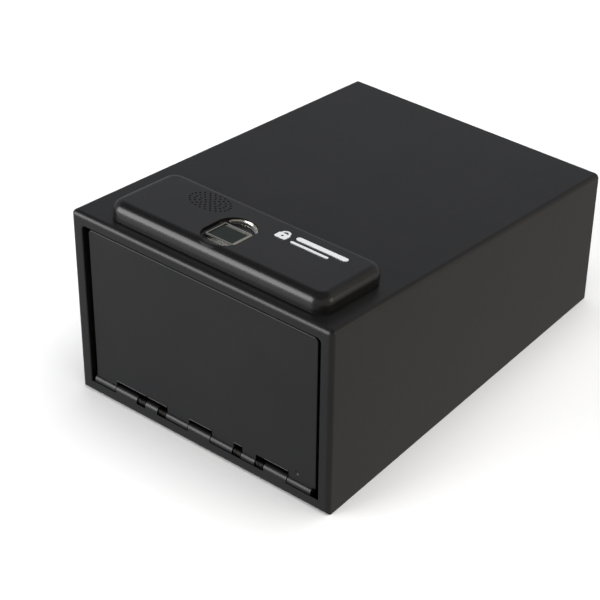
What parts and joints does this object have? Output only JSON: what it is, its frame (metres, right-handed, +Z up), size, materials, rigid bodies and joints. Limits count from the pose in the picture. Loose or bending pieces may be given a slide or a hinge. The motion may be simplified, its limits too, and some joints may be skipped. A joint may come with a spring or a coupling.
{
  "type": "gun safe",
  "caption": "Wedge-shaped steel handgun safe with a drop-down front door on a knuckle hinge and a fingerprint lock housing on its sloping top.",
  "frame": {"origin": "middle of the cabinet's base, on the plane that it rests on", "axes": "+X to the right seen from the front, -Y out of the front door, +Z up"},
  "size_m": [0.2091, 0.2936, 0.1486],
  "materials": {
    "powder_coat": "satin black powder coat with a very fine texture",
    "housing_plastic": "semi-gloss black moulded plastic",
    "inner_plastic": "matt black moulded plastic",
    "red_plastic": "glossy red moulded plastic",
    "bright_steel": "ground steel rod",
    "spring_steel": "oiled spring steel",
    "zinc_steel": "zinc-plated sheet steel",
    "nickel": "nickel plate",
    "brass": "plain brass",
    "silver_bezel": "satin chrome plate on plastic",
    "silver_print": "silver foil",
    "sensor_glass": "dark polished sensor window",
    "clear_lens": "clear acrylic",
    "rubber": "black rubber",
    "foam": "dark grey open-cell foam",
    "mesh_cloth": "black speaker cloth",
    "black_screws": "black oxide screws",
    "circuit_board": "green solder-masked board with black components",
    "coil_tape": "amber tape over the winding",
    "ribbon": "pale grey flat lead",
    "battery_jacket": "dark printed cell jacket without text"
  },
  "bodies": {
    "cabinet": {"body_shell": "powder_coat", "bottom_plate": "powder_coat", "rear_plate": "powder_coat", "bolt_grommets": "rubber", "floor_pad": "foam", "hinge_pin": "bright_steel", "hinge_spring_left": "spring_steel", "hinge_spring_right": "spring_steel", "door_bumpers": "rubber", "latch_shaft": "bright_steel", "shaft_clips": "spring_steel", "latch_bracket": "zinc_steel", "latch_spring": "spring_steel", "solenoid_frame": "zinc_steel", "solenoid_coil": "coil_tape", "mechanism_cover": "inner_plastic", "cover_screws": "black_screws", "battery_tray": "inner_plastic", "battery_contacts": "nickel", "battery_1": "battery_jacket", "battery_2": "battery_jacket", "battery_3": "battery_jacket", "battery_4": "battery_jacket", "control_board": "circuit_board", "board_posts": "brass", "light_lens": "clear_lens", "light_board": "circuit_board", "key_lock_barrel": "nickel", "key_lock_nut": "nickel", "key_cover_rivet": "nickel", "power_jack": "inner_plastic", "power_jack_nut": "nickel", "lock_housing": "housing_plastic", "housing_gasket": "foam", "housing_screws": "black_screws", "sensor_bezel": "silver_bezel", "sensor_window": "sensor_glass", "sensor_module": "inner_plastic", "sensor_lead": "ribbon", "speaker": "inner_plastic", "speaker_mesh": "mesh_cloth", "emblem": "silver_print"},
    "door": {"door_panel": "powder_coat", "door_stiffener": "powder_coat", "door_lining": "foam", "striker_left": "zinc_steel", "striker_right": "zinc_steel"},
    "latch": {"latch_rocker": "zinc_steel"},
    "plunger": {"solenoid_plunger": "bright_steel", "plunger_clip": "spring_steel"},
    "key_cylinder": {"key_core": "brass", "key_cam": "zinc_steel", "cam_screw": "bright_steel"},
    "keyhole_flap": {"key_cover": "inner_plastic"},
    "battery_lid": {"battery_cover": "inner_plastic"},
    "learn_key": {"learn_button": "red_plastic"}
  },
  "joints": [
    {"name": "door_hinge", "type": "hinge", "parent": "cabinet", "child": "door", "pos_m": [0, -0.1428, 0.0102], "axis": [1, 0, 0], "range_deg": [0, 94], "deforming": ["hinge_spring_left", "hinge_spring_right"]},
    {"name": "latch_turn", "type": "hinge", "parent": "cabinet", "child": "latch", "pos_m": [0, -0.106, 0.121], "axis": [1, 0, 0], "range_deg": [0, 15], "deforming": ["latch_spring"]},
    {"name": "plunger_slide", "type": "slide", "parent": "cabinet", "child": "plunger", "axis": [0, 1, 0], "range_m": [0, 0.0041]},
    {"name": "key_turn", "type": "hinge", "parent": "cabinet", "child": "key_cylinder", "pos_m": [0, -0.092, 0.106], "axis": [1, 0, 0], "range_deg": [-90, 0]},
    {"name": "keyhole_flap_swivel", "type": "hinge", "parent": "cabinet", "child": "keyhole_flap", "pos_m": [0, -0.092, 0.121], "axis": [1, 0, 0], "range_deg": [-90, 90]},
    {"name": "battery_lid_slide", "type": "slide", "parent": "cabinet", "child": "battery_lid", "axis": [0, 1, 0], "range_m": [0, 0.066]},
    {"name": "learn_button_press", "type": "slide", "parent": "cabinet", "child": "learn_key", "axis": [0, 0, 1], "range_m": [0, 0.0006], "stiffness_N_per_m": 300}
  ],
  "couplings": [
    {"joint": "plunger_slide", "follows": "latch_turn", "m_per_rad": 0.0155}
  ]
}
